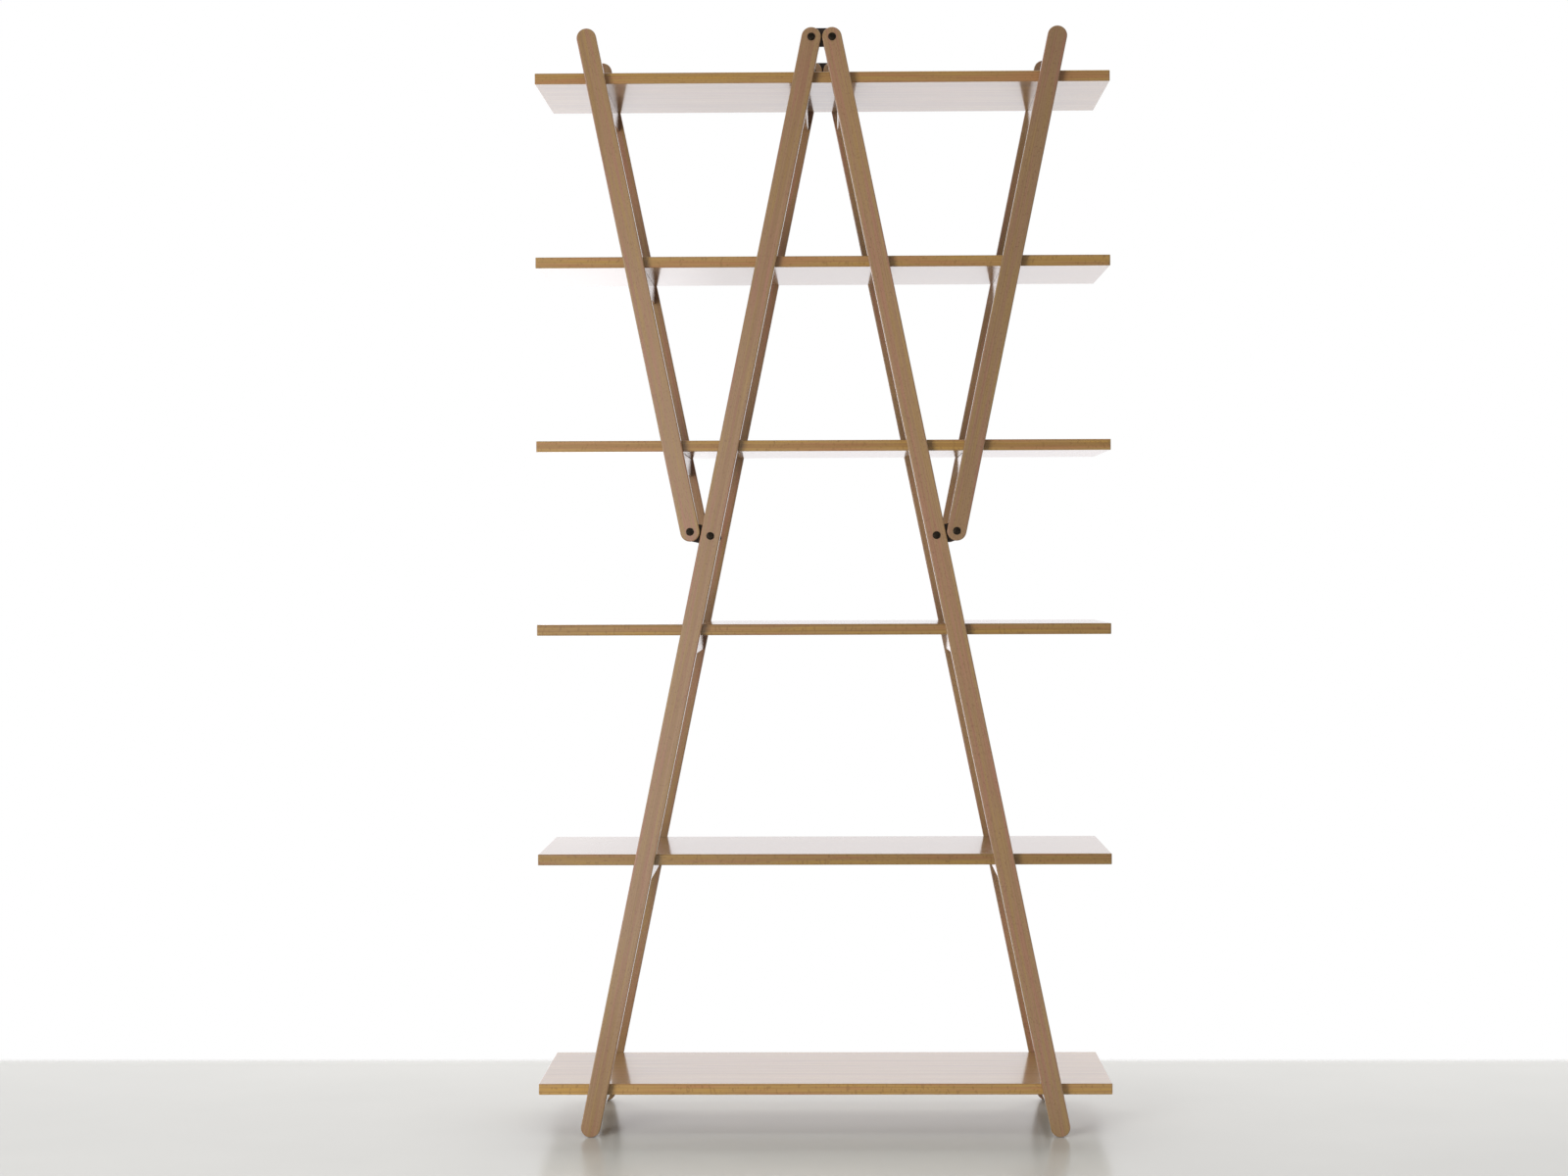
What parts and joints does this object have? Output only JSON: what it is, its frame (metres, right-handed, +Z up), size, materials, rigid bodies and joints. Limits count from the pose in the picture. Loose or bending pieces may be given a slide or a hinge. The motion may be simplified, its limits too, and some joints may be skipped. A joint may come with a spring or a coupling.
{
  "type": "folding bookstand rack",
  "caption": "Folding beech shelf rack: slender ladder frames linked into a zigzag by hinges carry loose boards on their rungs, and fold flat when the boards are out.",
  "frame": {"origin": "on the floor, under the middle of the rack", "axes": "+X to the right across the rack, +Y from the front to the rear, +Z up"},
  "size_m": [1, 0.3988, 1.9257],
  "materials": {
    "beech_post": "satin clear lacquer on solid beech",
    "beech_board": "satin clear lacquer on solid beech boards",
    "beech_dowel": "bare turned beech",
    "black_link": "black powder-coated steel",
    "black_bolt": "black oxide steel"
  },
  "bodies": {
    "top_links": {"top_front_link": "black_link", "top_rear_link": "black_link"},
    "left_inner_frame": {"left_inner_front_post": "beech_post", "left_inner_rear_post": "beech_post", "left_inner_top_rung": "beech_post", "left_inner_fourth_rung": "beech_post", "left_inner_fifth_rung": "beech_post", "left_inner_bottom_rung": "beech_post", "left_inner_dowels": "beech_dowel", "left_inner_pivot_sleeves": "black_bolt", "left_inner_pivot_screws": "black_bolt", "left_front_link": "black_link", "left_rear_link": "black_link"},
    "left_outer_frame": {"left_outer_front_post": "beech_post", "left_outer_rear_post": "beech_post", "left_outer_top_rung": "beech_post", "left_outer_second_rung": "beech_post", "left_outer_third_rung": "beech_post", "left_outer_dowels": "beech_dowel", "left_outer_pivot_sleeves": "black_bolt", "left_outer_pivot_screws": "black_bolt"},
    "right_inner_frame": {"right_inner_front_post": "beech_post", "right_inner_rear_post": "beech_post", "right_inner_top_rung": "beech_post", "right_inner_fourth_rung": "beech_post", "right_inner_fifth_rung": "beech_post", "right_inner_bottom_rung": "beech_post", "right_inner_dowels": "beech_dowel", "right_inner_pivot_sleeves": "black_bolt", "right_inner_pivot_screws": "black_bolt", "right_front_link": "black_link", "right_rear_link": "black_link"},
    "right_outer_frame": {"right_outer_front_post": "beech_post", "right_outer_rear_post": "beech_post", "right_outer_top_rung": "beech_post", "right_outer_second_rung": "beech_post", "right_outer_third_rung": "beech_post", "right_outer_dowels": "beech_dowel", "right_outer_pivot_sleeves": "black_bolt", "right_outer_pivot_screws": "black_bolt"},
    "top_board": {"top_shelf": "beech_board"},
    "second_board": {"second_shelf": "beech_board"},
    "third_board": {"third_shelf": "beech_board"},
    "fourth_board": {"fourth_shelf": "beech_board"},
    "fifth_board": {"fifth_shelf": "beech_board"},
    "bottom_board": {"bottom_shelf": "beech_board"}
  },
  "joints": [
    {"name": "fold", "type": "hinge", "parent": "top_links", "child": "left_inner_frame", "pos_m": [-0.018, 0, 1.90871], "axis": [0, -1, 0], "range_deg": [0, 11.65]},
    {"name": "fold_right_inner", "type": "hinge", "parent": "top_links", "child": "right_inner_frame", "pos_m": [0.018, 0, 1.90871], "axis": [0, 1, 0], "range_deg": [0, 11.65]},
    {"name": "fold_left_outer", "type": "hinge", "parent": "left_inner_frame", "child": "left_outer_frame", "pos_m": [-0.23135, 0, 1.05221], "axis": [0, 1, 0], "range_deg": [0, 23.3]},
    {"name": "fold_right_outer", "type": "hinge", "parent": "right_inner_frame", "child": "right_outer_frame", "pos_m": [0.23135, 0, 1.05221], "axis": [0, -1, 0], "range_deg": [0, 23.3]},
    {"name": "slide_out_top_shelf", "type": "slide", "parent": "top_links", "child": "top_board", "axis": [1, 0, 0], "range_m": [0, 0.95]},
    {"name": "slide_out_second_shelf", "type": "slide", "parent": "top_links", "child": "second_board", "axis": [1, 0, 0], "range_m": [0, 0.95]},
    {"name": "slide_out_third_shelf", "type": "slide", "parent": "top_links", "child": "third_board", "axis": [1, 0, 0], "range_m": [0, 0.95]},
    {"name": "slide_out_fourth_shelf", "type": "slide", "parent": "top_links", "child": "fourth_board", "axis": [1, 0, 0], "range_m": [0, 0.95]},
    {"name": "slide_out_fifth_shelf", "type": "slide", "parent": "top_links", "child": "fifth_board", "axis": [1, 0, 0], "range_m": [0, 0.95]},
    {"name": "slide_out_bottom_shelf", "type": "slide", "parent": "top_links", "child": "bottom_board", "axis": [1, 0, 0], "range_m": [0, 0.95]}
  ],
  "couplings": [
    {"joint": "fold_right_inner", "follows": "fold", "ratio": 1},
    {"joint": "fold_left_outer", "follows": "fold", "ratio": 2},
    {"joint": "fold_right_outer", "follows": "fold", "ratio": 2}
  ]
}
